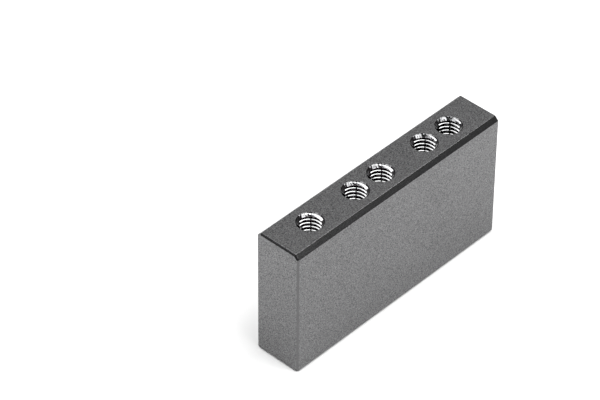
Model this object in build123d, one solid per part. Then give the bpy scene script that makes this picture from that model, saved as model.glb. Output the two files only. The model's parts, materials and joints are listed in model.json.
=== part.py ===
from build123d import *
import math
import os

# Machined mounting block: an aluminium bar that stands on its long narrow side,
# with a row of tapped blind holes in the opposite narrow side. All sizes are in millimetres.
# +X runs along the bar, +Y through its thickness, +Z from the seat up to the tapped face.
# The origin is the middle of the seat.

# Bar
thickness = 12.0
height = 33.0
end_distance = 10.0          # from each end of the bar to the nearest hole's axis

# Row of tapped holes: a middle hole and one a pitch away on each side, and a companion
# beside the middle and the far hole, set back towards the near end
hole_pitch = 22.0
companion_offset = 8.0

# Metric coarse thread, cut in a blind hole
thread_diameter = 6.0
thread_pitch = 1.0
thread_depth = 14.0
thread_runout = 3.0          # plain bore left below the last full thread
mouth_margin = 0.15          # how far the countersink's rim stands outside the thread
countersink_angle = 90.0
drill_point_angle = 118.0

# Edges
top_chamfer = 1.0            # the two long edges beside the tapped face
seat_chamfer = 0.5           # the two long edges beside the seat
edge_break = 0.4             # round both end faces

# Worked out from the sizes above
length = 2 * (hole_pitch + end_distance)
main_holes = [-hole_pitch, 0.0, hole_pitch]
companion_holes = [x - companion_offset for x in main_holes[1:]]
hole_positions = sorted(main_holes + companion_holes)

bore_radius = (thread_diameter - thread_pitch) / 2
mouth_radius = thread_diameter / 2 + mouth_margin
countersink_depth = (mouth_radius - bore_radius) / math.tan(math.radians(countersink_angle / 2))
bore_depth = thread_depth + thread_runout
point_depth = bore_radius / math.tan(math.radians(drill_point_angle / 2))


def bar():
    """The bar without its holes: one section pushed along X, then its end faces' edges broken."""
    with BuildPart() as blank:
        with BuildSketch(Plane.YZ) as section:
            Rectangle(thickness, height, align=(Align.CENTER, Align.MIN))
            for side, size in ((-1, top_chamfer), (0, seat_chamfer)):
                chamfer(section.vertices().group_by(Axis.Y)[side], size)
        extrude(amount=length / 2, both=True)
        end_faces = blank.faces().filter_by(Axis.X)
        chamfer(end_faces.edges(), edge_break)
    return blank.part


def tapped_hole():
    """The space that one hole takes: countersunk mouth, bore and drill point, mouth at the origin."""
    with BuildPart() as cutter:
        with BuildSketch(Plane.XZ):
            with BuildLine():
                Polyline(
                    (0, 0),
                    (mouth_radius, 0),
                    (bore_radius, -countersink_depth),
                    (bore_radius, -bore_depth),
                    (0, -bore_depth - point_depth),
                    close=True,
                )
            make_face()
        revolve(axis=Axis.Z)
    return cutter.part


def mounting_block():
    """The finished block: the bar less its row of tapped holes."""
    block = bar()
    hole = tapped_hole()
    for x in hole_positions:
        block -= Pos(x, 0, height) * hole
    return block


os.makedirs("parts", exist_ok=True)
export_step(mounting_block(), "parts/mounting_block.step")
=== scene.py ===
import json
from math import atan2, cos, pi, radians, sin, tan
from random import Random

import bmesh
import bpy
from bpy.props import (
    FloatProperty,
    FloatVectorProperty,
    IntProperty,
    PointerProperty,
)
from mathutils import Matrix, Vector


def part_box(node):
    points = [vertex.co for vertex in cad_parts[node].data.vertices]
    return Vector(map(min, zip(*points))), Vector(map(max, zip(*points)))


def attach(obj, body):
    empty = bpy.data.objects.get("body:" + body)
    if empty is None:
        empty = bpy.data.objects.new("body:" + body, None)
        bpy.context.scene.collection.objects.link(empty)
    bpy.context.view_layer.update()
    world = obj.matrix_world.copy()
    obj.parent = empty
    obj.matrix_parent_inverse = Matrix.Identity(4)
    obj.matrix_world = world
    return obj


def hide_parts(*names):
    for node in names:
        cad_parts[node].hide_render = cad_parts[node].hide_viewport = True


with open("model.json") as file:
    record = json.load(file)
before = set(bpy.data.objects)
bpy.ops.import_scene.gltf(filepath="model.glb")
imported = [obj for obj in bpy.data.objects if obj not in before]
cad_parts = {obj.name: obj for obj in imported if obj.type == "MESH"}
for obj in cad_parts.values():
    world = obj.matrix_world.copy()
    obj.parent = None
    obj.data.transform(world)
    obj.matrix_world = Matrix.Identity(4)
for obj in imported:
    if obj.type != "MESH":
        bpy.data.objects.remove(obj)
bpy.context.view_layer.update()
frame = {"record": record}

bl_info = {
    "name": "Machined Mounting Block",
    "version": (1, 0, 0),
    "blender": (4, 5, 0),
    "location": "View3D > Sidebar > Mounting Block",
    "description": "Builds an anodised aluminium mounting block with a row of tapped holes",
    "category": "Add Mesh",
}

NODE = "mounting_block"
SEAT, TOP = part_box(NODE)
MOUTHS = [
    Vector((m["pos_m"][0], m["pos_m"][1], TOP.z))
    for m in frame["record"]["mounts"]
    if m["kind"] == "threaded_hole"
]
BORE_RADIUS = next(
    m["dims"]["r_mm"] / 1000 for m in frame["record"]["mounts"] if m["kind"] == "threaded_hole"
)
EDGES, HOLES, MOUTH = 1, 2, 3  # material slots of the block, after its faces
RIPPLE_POINTS = 4  # points of the countersink's mesh round each ripple
FEWEST_RIPPLES = 12  # the mesh is as fine as for these when there are fewer
CORE_OVERLAP = 1 / 20  # how far the thread's shape reaches into the bore, in pitches
ROOT_FLAT = 1 / 16  # half the flat at the thread's major diameter, in pitches
FLANK_ANGLE = radians(30)


# ---------------------------------------------------------------- settings


class BlockSizes(bpy.types.PropertyGroup):
    """Sizes of the bar's edges and of its tapped holes"""

    top_chamfer: FloatProperty(
        name="Top chamfer",
        description="Chamfer on the two long edges beside the tapped face",
        default=0.001,
        min=0.0,
        precision=5,
        subtype="DISTANCE",
        unit="LENGTH",
    )
    seat_chamfer: FloatProperty(
        name="Seat chamfer",
        description="Chamfer on the two long edges beside the seat",
        default=0.0005,
        min=0.0,
        precision=5,
        subtype="DISTANCE",
        unit="LENGTH",
    )
    edge_break: FloatProperty(
        name="Edge break",
        description="Chamfer round both end faces",
        default=0.0004,
        min=0.0,
        precision=5,
        subtype="DISTANCE",
        unit="LENGTH",
    )
    edge_softness: FloatProperty(
        name="Edge softness",
        description="Width that blasting and anodising round off every outside edge",
        default=0.00005,
        min=0.0,
        precision=5,
        subtype="DISTANCE",
        unit="LENGTH",
    )
    thread_diameter: FloatProperty(
        name="Thread diameter",
        description="Major diameter of the tapped thread",
        default=0.006,
        min=0.001,
        precision=4,
        subtype="DISTANCE",
        unit="LENGTH",
    )
    thread_pitch: FloatProperty(
        name="Thread pitch",
        description="Rise of the thread in one turn",
        default=0.001,
        min=0.0002,
        precision=4,
        subtype="DISTANCE",
        unit="LENGTH",
    )
    thread_depth: FloatProperty(
        name="Thread depth",
        description="Depth of the last full turn below the tapped face",
        default=0.014,
        min=0.001,
        precision=4,
        subtype="DISTANCE",
        unit="LENGTH",
    )
    bore_depth: FloatProperty(
        name="Bore depth",
        description="Depth of the plain bore, without its drill point",
        default=0.017,
        min=0.001,
        precision=4,
        subtype="DISTANCE",
        unit="LENGTH",
    )
    mouth_diameter: FloatProperty(
        name="Mouth diameter",
        description="Diameter of the countersink at the tapped face",
        default=0.0063,
        min=0.001,
        precision=4,
        subtype="DISTANCE",
        unit="LENGTH",
    )
    countersink_angle: FloatProperty(
        name="Countersink angle",
        description="Full angle of the countersink's cone",
        default=radians(90),
        subtype="ANGLE",
        unit="ROTATION",
    )
    chatter: FloatProperty(
        name="Countersink chatter",
        description="Height of the ripples that the countersink leaves round the mouth",
        default=0.00004,
        min=0.0,
        precision=6,
        subtype="DISTANCE",
        unit="LENGTH",
    )
    ripples: IntProperty(
        name="Countersink ripples",
        description="Ripples in one turn of the countersink",
        default=24,
        min=0,
        max=48,
    )
    point_angle: FloatProperty(
        name="Drill point angle",
        description="Full angle of the cone at the bottom of the bore",
        default=radians(118),
        subtype="ANGLE",
        unit="ROTATION",
    )
    thread_starts: FloatVectorProperty(
        name="Thread starts",
        description="Where the thread begins round each hole, from the near end",
        size=5,
        default=tuple(radians(angle) for angle in (109, 99, 97, 68, 58)),
        unit="ROTATION",
    )
    steps: IntProperty(
        name="Facets a turn",
        description="Facets in one turn of a thread",
        default=64,
        min=12,
        max=96,
    )


class BlockFinish(bpy.types.PropertyGroup):
    """Colour and surface of the anodised faces and of the holes"""

    body_colour: FloatVectorProperty(
        name="Anodised colour",
        description="Colour of the satin anodised faces",
        size=3,
        default=(0.152, 0.152, 0.154),
        min=0.0,
        max=1.0,
        subtype="COLOR",
    )
    body_roughness: FloatProperty(
        name="Anodised roughness",
        description="Mean roughness of the satin anodised faces",
        default=0.36,
        min=0.0,
        max=1.0,
        subtype="FACTOR",
    )
    edge_roughness: FloatProperty(
        name="Chamfer roughness",
        description="Mean roughness of the chamfers and broken edges",
        default=0.16,
        min=0.0,
        max=1.0,
        subtype="FACTOR",
    )
    cut_colour: FloatVectorProperty(
        name="Cut colour",
        description="Colour of the bores and threads",
        size=3,
        default=(0.25, 0.25, 0.252),
        min=0.0,
        max=1.0,
        subtype="COLOR",
    )
    cut_roughness: FloatProperty(
        name="Cut roughness",
        description="Mean roughness of the bores and threads",
        default=0.07,
        min=0.0,
        max=1.0,
        subtype="FACTOR",
    )
    countersink_colour: FloatVectorProperty(
        name="Countersink colour",
        description="Colour of the countersinks",
        size=3,
        default=(0.11, 0.11, 0.112),
        min=0.0,
        max=1.0,
        subtype="COLOR",
    )
    countersink_roughness: FloatProperty(
        name="Countersink roughness",
        description="Mean roughness of the countersinks",
        default=0.13,
        min=0.0,
        max=1.0,
        subtype="FACTOR",
    )
    tear_size: FloatProperty(
        name="Tear size",
        description="Size of the uneven spots that chatter leaves on the countersinks",
        default=0.00028,
        min=0.00005,
        precision=5,
        subtype="DISTANCE",
        unit="LENGTH",
    )
    grain_size: FloatProperty(
        name="Grain size",
        description="Size of the satin grain on the anodised faces",
        default=0.00012,
        min=0.00005,
        precision=5,
        subtype="DISTANCE",
        unit="LENGTH",
    )


class StudioSettings(bpy.types.PropertyGroup):
    """Floor, lights and camera"""

    floor_size: FloatProperty(
        name="Floor size",
        description="Side of the square floor",
        default=12.0,
        min=1.0,
        subtype="DISTANCE",
        unit="LENGTH",
    )
    floor_colour: FloatVectorProperty(
        name="Floor colour",
        description="Colour of the pale floor",
        size=3,
        default=(0.575, 0.575, 0.575),
        min=0.0,
        max=1.0,
        subtype="COLOR",
    )
    softbox_radiance: FloatProperty(
        name="Softbox brightness",
        description="Brightness of the two softboxes, where 1 is a white surface",
        default=6.2,
        min=0.0,
    )
    back_radiance: FloatProperty(
        name="Back card brightness",
        description="Brightness of the card behind the block, where 1 is a white surface",
        default=0.57,
        min=0.0,
    )
    room_brightness: FloatProperty(
        name="Room brightness",
        description="Brightness of the room round the floor",
        default=0.13,
        min=0.0,
    )
    view_azimuth: FloatProperty(
        name="View azimuth",
        description="Direction of the camera round the block, 0 in front of its front face",
        default=radians(-46.898),
        subtype="ANGLE",
        unit="ROTATION",
    )
    view_elevation: FloatProperty(
        name="View elevation",
        description="Height of the camera above the horizon",
        default=radians(40.659),
        subtype="ANGLE",
        unit="ROTATION",
    )
    view_roll: FloatProperty(
        name="View roll",
        description="Turn of the camera about its own axis",
        default=radians(0.372),
        subtype="ANGLE",
        unit="ROTATION",
    )
    view_distance: FloatProperty(
        name="View distance",
        description="Distance from the camera to the point it looks at",
        default=0.69,
        min=0.1,
        precision=3,
        subtype="DISTANCE",
        unit="LENGTH",
    )
    view_target: FloatVectorProperty(
        name="View target",
        description="Point that the camera looks at",
        size=3,
        default=(-0.0091, 0.01502, 0.02206),
        precision=5,
        subtype="TRANSLATION",
        unit="LENGTH",
    )
    lens: FloatProperty(
        name="Lens",
        description="Focal length in millimetres, on a 36 mm wide sensor",
        default=191.16,
        min=10.0,
    )


# ---------------------------------------------------------------- shader maths


class Shade:
    """A value in a finish's nodes. A sum written with it adds the Math nodes."""

    def __init__(self, finish, socket):
        self.finish = finish
        self.socket = socket

    def maths(self, operation, first, second):
        return self.finish.add("ShaderNodeMath", {"operation": operation}, {0: first, 1: second})

    def __add__(self, other):
        return self.maths("ADD", self, other)

    def __radd__(self, other):
        return self.maths("ADD", other, self)

    def __sub__(self, other):
        return self.maths("SUBTRACT", self, other)

    def __rsub__(self, other):
        return self.maths("SUBTRACT", other, self)

    def __mul__(self, other):
        return self.maths("MULTIPLY", self, other)

    def __rmul__(self, other):
        return self.maths("MULTIPLY", other, self)


class Finish:
    """A material and its nodes."""

    def __init__(self, name):
        self.material = bpy.data.materials.new(name)
        self.material.use_nodes = True
        self.tree = self.material.node_tree
        self.tree.nodes.clear()

    def add(self, kind, settings=None, values=None, output=0):
        """Adds one node: its settings first, then the values or links of its sockets."""
        node = self.tree.nodes.new(kind)
        for key, value in (settings or {}).items():
            setattr(node, key, value)
        for key, value in (values or {}).items():
            if isinstance(value, Shade):
                self.tree.links.new(value.socket, node.inputs[key])
            else:
                node.inputs[key].default_value = value
        return Shade(self, node.outputs[output]) if node.outputs else None

    def place(self):
        """The point on the piece, in metres."""
        return self.add("ShaderNodeTexCoord", output="Object")

    def stretched(self, point, x, y, z):
        """The point with a pattern's grain drawn out or pressed together along the axes."""
        return self.add(
            "ShaderNodeMapping", {"vector_type": "POINT"}, {"Vector": point, "Scale": (x, y, z)}
        )

    def grain(self, point, size, detail=2.0, roughness=0.5):
        """Noise with spots of about that size, from 0 to 1 with its middle at 0.5.

        It is turned askew, so that no face lies along the noise's own grid.
        """
        askew = self.add(
            "ShaderNodeMapping",
            {"vector_type": "POINT"},
            {"Vector": point, "Rotation": (0.6, 0.4, 0.3)},
        )
        return self.add(
            "ShaderNodeTexNoise",
            {"noise_dimensions": "3D"},
            {"Vector": askew, "Scale": 0.5 / size, "Detail": detail, "Roughness": roughness},
        )

    def surface(self, shader_values):
        shader = self.add("ShaderNodeBsdfPrincipled", None, shader_values)
        self.add("ShaderNodeOutputMaterial", None, {"Surface": shader})
        return self.material


def shaded(finish, factor, dark, light):
    """A colour between two others."""
    return finish.add(
        "ShaderNodeMix",
        {"data_type": "RGBA"},
        {0: factor, 6: (*dark, 1.0), 7: (*light, 1.0)},
        output=2,
    )


def anodised_finish(look):
    """Satin gunmetal anodising over finely blasted faces."""
    finish = Finish("anodised_satin")
    point = finish.place()
    speck = finish.grain(point, look.grain_size, 1.0)
    drawn = finish.grain(finish.stretched(point, 1.0, 1.0, 0.3), look.grain_size * 1.3, 1.0)
    cloud = finish.grain(point, look.grain_size * 40, 2.0)
    mottle = speck * 2.8 + drawn * 0.4 + cloud * 0.1 - 1.15
    base = Vector(look.body_colour)
    colour = shaded(finish, mottle, base * 0.45, base * 1.55)
    roughness = look.body_roughness - 0.06 + speck * 0.12
    bump = finish.add(
        "ShaderNodeBump",
        None,
        {"Strength": 0.3, "Distance": 0.00002, "Height": speck * 0.7 + drawn * 0.3},
    )
    return finish.surface(
        {"Base Color": colour, "Metallic": 1.0, "Roughness": roughness, "Normal": bump}
    )


def edge_finish(look):
    """The same anodising on milled chamfers, smoother and with faint cutter lines along them.
    Its colour is painted about a quarter darker than the faces' as painted shade.
    """
    finish = Finish("anodised_milled_painted_shade")
    point = finish.place()
    lines = finish.grain(finish.stretched(point, 0.04, 1.0, 1.0), look.grain_size * 0.6, 1.0)
    speck = finish.grain(point, look.grain_size, 1.0)
    base = Vector(look.body_colour)
    # painted shade: the mix centres near 0.76 of the faces' colour, so the chamfers and broken
    # edges look as dark as the dim surroundings they reflect
    colour = shaded(finish, lines * 0.6 + speck * 0.4, base * 0.5, base * 1.02)
    roughness = look.edge_roughness - 0.04 + speck * 0.08
    bump = finish.add(
        "ShaderNodeBump", None, {"Strength": 0.15, "Distance": 0.00001, "Height": lines}
    )
    return finish.surface(
        {"Base Color": colour, "Metallic": 1.0, "Roughness": roughness, "Normal": bump}
    )


def cut_finish(look):
    """Cut metal of the bores and threads, with fine tool marks round them."""
    finish = Finish("anodised_cut")
    point = finish.place()
    rings = finish.grain(finish.stretched(point, 0.12, 0.12, 1.0), look.grain_size * 0.45, 1.0)
    speck = finish.grain(point, look.grain_size, 2.0)
    base = Vector(look.cut_colour)
    colour = shaded(finish, rings * 0.5 + speck * 0.5, base * 0.8, base * 1.2)
    roughness = look.cut_roughness - 0.03 + speck * 0.06
    bump = finish.add(
        "ShaderNodeBump", None, {"Strength": 0.2, "Distance": 0.00001, "Height": rings}
    )
    return finish.surface(
        {"Base Color": colour, "Metallic": 1.0, "Roughness": roughness, "Normal": bump}
    )


def countersunk_finish(look):
    """Cut metal of the countersinks, rougher and torn where the cutter chattered."""
    finish = Finish("anodised_countersunk")
    point = finish.place()
    torn = finish.grain(point, look.tear_size, 1.0)
    speck = finish.grain(point, look.grain_size, 2.0)
    base = Vector(look.countersink_colour)
    colour = shaded(finish, torn * 2.0 + speck - 1.0, base * 0.5, base * 1.5)
    roughness = look.countersink_roughness - 0.04 + speck * 0.08
    bump = finish.add(
        "ShaderNodeBump", None, {"Strength": 1.0, "Distance": 0.00004, "Height": torn}
    )
    return finish.surface(
        {"Base Color": colour, "Metallic": 1.0, "Roughness": roughness, "Normal": bump}
    )


def floor_finish(colour):
    """Matt pale paper."""
    finish = Finish("pale_floor")
    fibre = finish.grain(finish.place(), 0.002, 2.0)
    paper = Vector(colour)
    tint = shaded(finish, fibre, paper * 0.995, paper * 1.005)
    return finish.surface({"Base Color": tint, "Roughness": 0.9, "Specular IOR Level": 0.1})


# ---------------------------------------------------------------- shapes


def new_object(name, bm, materials):
    """Turns a bmesh into an object at the origin."""
    mesh = bpy.data.meshes.new(name)
    bm.to_mesh(mesh)
    bm.free()
    for material in materials:
        mesh.materials.append(material)
    piece = bpy.data.objects.new(name, mesh)
    bpy.context.scene.collection.objects.link(piece)
    return piece


def edges_along(bm, axis, at):
    """The straight edges along one axis whose middle has the given coordinates."""
    found = []
    for edge in bm.edges:
        run = edge.verts[1].co - edge.verts[0].co
        middle = (edge.verts[0].co + edge.verts[1].co) / 2
        if abs(run[axis]) > 0.999 * run.length and all(
            abs(middle[i] - value) < 1e-5 for i, value in at.items()
        ):
            found.append(edge)
    return found


def bevel(bm, edges, width, segments=1):
    """Bevels edges and gives back the new faces."""
    return bmesh.ops.bevel(
        bm,
        geom=edges,
        offset=width,
        offset_type="OFFSET",
        affect="EDGES",
        segments=segments,
        profile=0.5,
        material=-1,
        clamp_overlap=True,
    )["faces"]


def bar(sizes):
    """The bar: its long edges chamfered, its end faces' edges broken and all edges softened."""
    bm = bmesh.new()
    bmesh.ops.create_cube(bm, size=1.0)
    bmesh.ops.scale(bm, verts=bm.verts, vec=TOP - SEAT)
    bmesh.ops.translate(bm, verts=bm.verts, vec=(TOP + SEAT) / 2)
    chamfers = []
    for height, width in ((TOP.z, sizes.top_chamfer), (SEAT.z, sizes.seat_chamfer)):
        chamfers += bevel(bm, edges_along(bm, 0, {2: height}), width)
    for face in chamfers:
        face.material_index = EDGES
    ends = [
        edge
        for edge in bm.edges
        if any(all(abs(v.co.x - x) < 1e-6 for v in edge.verts) for x in (SEAT.x, TOP.x))
    ]
    for face in bevel(bm, ends, sizes.edge_break):
        face.material_index = EDGES
    bevel(bm, list(bm.edges), sizes.edge_softness / 2, segments=3)
    bmesh.ops.recalc_face_normals(bm, faces=bm.faces)
    return bm


def outline(bm, points):
    """A chain of edges in the XZ plane through (radius, height) points."""
    chain = [bm.verts.new((radius, 0.0, height)) for radius, height in points]
    return chain + [bm.edges.new(pair) for pair in zip(chain, chain[1:])]


def drill(sizes):
    """The space of a countersunk bore with its drill point, its mouth at the origin.

    The cutter's chatter leaves ripples on the countersink, between its rim and the bore.
    """
    bm = bmesh.new()
    mouth = sizes.mouth_diameter / 2
    slope = tan(sizes.countersink_angle / 2)
    above = sizes.thread_pitch / 2
    throat = (mouth - BORE_RADIUS) / slope
    rippled = [(mouth - throat * slope * share, -throat * share) for share in (0.12, 0.4, 0.75)]
    chain = outline(
        bm,
        (
            (0.0, above),
            (mouth + above * slope, above),
            (mouth, 0.0),
            *rippled,
            (BORE_RADIUS, -throat),
            (BORE_RADIUS, -sizes.bore_depth),
            (0.0, -sizes.bore_depth - BORE_RADIUS / tan(sizes.point_angle / 2)),
        ),
    )
    steps = RIPPLE_POINTS * max(sizes.ripples, FEWEST_RIPPLES)
    bmesh.ops.spin(bm, geom=chain, axis=(0, 0, 1), angle=2 * pi, steps=steps, use_merge=True)
    uneven = Random(5)
    for vert in bm.verts:
        if -throat * 0.9 < vert.co.z < -throat * 0.05:
            ripple = cos(sizes.ripples * atan2(vert.co.y, vert.co.x))
            vert.co.z += sizes.chatter * (ripple * 0.8 + uneven.uniform(-0.6, 0.6))
    closed(bm)
    for face in bm.faces:
        if face.calc_center_median().z > -throat:
            face.material_index = MOUTH
    return bm


def tap(sizes, start):
    """The space of the thread round the bore, its first turn above the mouth at the origin."""
    bm = bmesh.new()
    major, pitch = sizes.thread_diameter / 2, sizes.thread_pitch
    core = BORE_RADIUS - pitch * CORE_OVERLAP
    root = pitch * ROOT_FLAT
    opening = root + (major - core) * tan(FLANK_ANGLE)
    low = -sizes.thread_depth - 2 * pitch
    chain = outline(
        bm,
        (
            (core, low - opening),
            (major, low - root),
            (major, low + root),
            (core, low + opening),
            (core, low - opening + pitch),
        ),
    )
    bmesh.ops.spin(
        bm,
        geom=chain,
        axis=(0, 0, 1),
        dvec=(0, 0, pitch / sizes.steps),
        angle=2 * pi,
        steps=sizes.steps,
    )
    first_turn = bm.verts[:] + bm.edges[:] + bm.faces[:]
    for turn in range(1, round(sizes.thread_depth / pitch) + 4):
        copy = bmesh.ops.duplicate(bm, geom=first_turn)["geom"]
        points = [v for v in copy if isinstance(v, bmesh.types.BMVert)]
        bmesh.ops.translate(bm, verts=points, vec=(0, 0, turn * pitch))
    bmesh.ops.remove_doubles(bm, verts=bm.verts, dist=pitch / 500)
    for height, up in ((-sizes.thread_depth, -1), (pitch, 1)):
        cut = bmesh.ops.bisect_plane(
            bm,
            geom=bm.verts[:] + bm.edges[:] + bm.faces[:],
            plane_co=(0, 0, height),
            plane_no=(0, 0, up),
            clear_outer=True,
        )
        rim = [e for e in cut["geom_cut"] if isinstance(e, bmesh.types.BMEdge)]
        bmesh.ops.edgeloop_fill(bm, edges=rim)
    bmesh.ops.rotate(bm, verts=bm.verts, matrix=Matrix.Rotation(start, 3, "Z"))
    return closed(bm)


def closed(bm):
    """Merges doubles, points the faces outwards and gives them the cut finish."""
    bmesh.ops.remove_doubles(bm, verts=bm.verts, dist=1e-6)
    bmesh.ops.recalc_face_normals(bm, faces=bm.faces)
    for face in bm.faces:
        face.material_index = HOLES
    return bm


def row_of(shapes):
    """One bmesh with a shape at each hole's mouth."""
    row = bmesh.new()
    for mouth, shape in zip(MOUTHS, shapes):
        bmesh.ops.translate(shape, verts=shape.verts, vec=mouth)
        part = bpy.data.meshes.new("part")
        shape.to_mesh(part)
        shape.free()
        row.from_mesh(part)
        bpy.data.meshes.remove(part)
    return row


def settle(piece):
    """Turns the piece's modifiers into its own mesh."""
    evaluated = piece.evaluated_get(bpy.context.evaluated_depsgraph_get())
    mesh = bpy.data.meshes.new_from_object(evaluated)
    old = piece.data
    piece.modifiers.clear()
    piece.data = mesh
    bpy.data.meshes.remove(old)


def cut_away(piece, cutters, materials):
    """Takes a bmesh of closed shapes out of the piece."""
    tool = new_object("cutting_tool", cutters, materials)
    modifier = piece.modifiers.new("cut", "BOOLEAN")
    modifier.operation = "DIFFERENCE"
    modifier.solver = "MANIFOLD"
    modifier.object = tool
    settle(piece)
    mesh = tool.data
    bpy.data.objects.remove(tool)
    bpy.data.meshes.remove(mesh)


# ---------------------------------------------------------------- operators


class MOUNTINGBLOCK_OT_block(bpy.types.Operator):
    """Build the block with its tapped holes"""

    bl_idname = "mountingblock.block"
    bl_label = "Block with tapped holes"
    bl_options = {"REGISTER", "UNDO"}

    def execute(self, context):
        sizes = context.scene.block_sizes
        look = context.scene.block_finish
        finishes = (anodised_finish, edge_finish, cut_finish, countersunk_finish)
        materials = [finish(look) for finish in finishes]
        block = new_object("machined_block", bar(sizes), materials)
        cut_away(block, row_of([drill(sizes) for _ in MOUTHS]), materials)
        cut_away(block, row_of([tap(sizes, start) for start in sizes.thread_starts]), materials)
        block.data.shade_smooth()
        block.data.set_sharp_from_angle(angle=radians(30))
        weighted = block.modifiers.new("flat_faces", "WEIGHTED_NORMAL")
        weighted.keep_sharp = True
        settle(block)
        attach(block, "root")
        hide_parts(NODE)
        return {"FINISHED"}


class MOUNTINGBLOCK_OT_studio(bpy.types.Operator):
    """Set out the floor, the lights and the camera"""

    bl_idname = "mountingblock.studio"
    bl_label = "Floor, lights and camera"
    bl_options = {"REGISTER", "UNDO"}

    def execute(self, context):
        studio = context.scene.block_studio
        bm = bmesh.new()
        bmesh.ops.create_grid(bm, x_segments=4, y_segments=4, size=studio.floor_size / 2)
        bmesh.ops.translate(bm, verts=bm.verts, vec=(0, 0, SEAT.z - 0.00002))
        new_object("floor", bm, [floor_finish(studio.floor_colour)])
        turn = Matrix.Rotation(studio.view_azimuth, 3, "Z")
        lights = (
            ("softbox_left", (-0.40, -0.06, 0.82), (1.0, 0.78), 0.8 * studio.softbox_radiance),
            ("softbox_right", (0.43, -0.06, 0.80), (1.0, 0.76), 1.2 * studio.softbox_radiance),
            ("back_card", (0.0, 1.0, 0.55), (1.6, 0.7), studio.back_radiance),
        )
        for name, place, size, radiance in lights:
            self.softbox(context, name, turn @ Vector(place), size, radiance)
        room = bpy.data.worlds.new("room")
        room.use_nodes = True
        background = room.node_tree.nodes["Background"]
        background.inputs["Color"].default_value = (1.0, 1.0, 1.0, 1.0)
        background.inputs["Strength"].default_value = studio.room_brightness
        context.scene.world = room
        context.scene.view_settings.view_transform = "Standard"
        self.camera(context, studio)
        return {"FINISHED"}

    def softbox(self, context, name, place, size, radiance):
        """A rectangular light aimed at the block."""
        light = bpy.data.lights.new(name, "AREA")
        light.shape = "RECTANGLE"
        light.size, light.size_y = size
        light.energy = radiance * pi * size[0] * size[1]
        lamp = bpy.data.objects.new(name, light)
        lamp.location = place
        lamp.rotation_euler = (Vector((0, 0, TOP.z)) - place).to_track_quat("-Z", "Y").to_euler()
        lamp.visible_camera = False
        context.scene.collection.objects.link(lamp)
        return lamp

    def camera(self, context, studio):
        """A long lens that looks down on the block from its near end."""
        azimuth, elevation = studio.view_azimuth, studio.view_elevation
        back = Vector(
            (
                sin(azimuth) * cos(elevation),
                -cos(azimuth) * cos(elevation),
                sin(elevation),
            )
        )
        lens = bpy.data.cameras.new("camera")
        lens.lens = studio.lens
        lens.sensor_width = 36.0
        lens.clip_start, lens.clip_end = 0.01, 50.0
        camera = bpy.data.objects.new("camera", lens)
        camera.location = Vector(studio.view_target) + back * studio.view_distance
        aim = (-back).to_track_quat("-Z", "Y").to_matrix()
        camera.rotation_euler = (aim @ Matrix.Rotation(studio.view_roll, 3, "Z")).to_euler()
        context.scene.collection.objects.link(camera)
        context.scene.camera = camera


class MOUNTINGBLOCK_PT_panel(bpy.types.Panel):
    """Sizes, finishes and stage of the mounting block"""

    bl_idname = "MOUNTINGBLOCK_PT_panel"
    bl_label = "Mounting Block"
    bl_space_type = "VIEW_3D"
    bl_region_type = "UI"
    bl_category = "Mounting Block"

    def draw(self, context):
        layout = self.layout
        groups = (
            (context.scene.block_sizes, "Block"),
            (context.scene.block_finish, "Finish"),
            (context.scene.block_studio, "Studio"),
        )
        for group, title in groups:
            box = layout.box()
            box.label(text=title)
            for name in group.__annotations__:
                box.prop(group, name)
        layout.operator(MOUNTINGBLOCK_OT_block.bl_idname)
        layout.operator(MOUNTINGBLOCK_OT_studio.bl_idname)


CLASSES = (
    BlockSizes,
    BlockFinish,
    StudioSettings,
    MOUNTINGBLOCK_OT_block,
    MOUNTINGBLOCK_OT_studio,
    MOUNTINGBLOCK_PT_panel,
)


def register():
    for cls in CLASSES:
        bpy.utils.register_class(cls)
    bpy.types.Scene.block_sizes = PointerProperty(type=BlockSizes)
    bpy.types.Scene.block_finish = PointerProperty(type=BlockFinish)
    bpy.types.Scene.block_studio = PointerProperty(type=StudioSettings)


def unregister():
    del bpy.types.Scene.block_studio
    del bpy.types.Scene.block_finish
    del bpy.types.Scene.block_sizes
    for cls in reversed(CLASSES):
        bpy.utils.unregister_class(cls)


def main():
    register()
    bpy.ops.mountingblock.studio()
    bpy.ops.mountingblock.block()


if __name__ == "__main__":
    main()
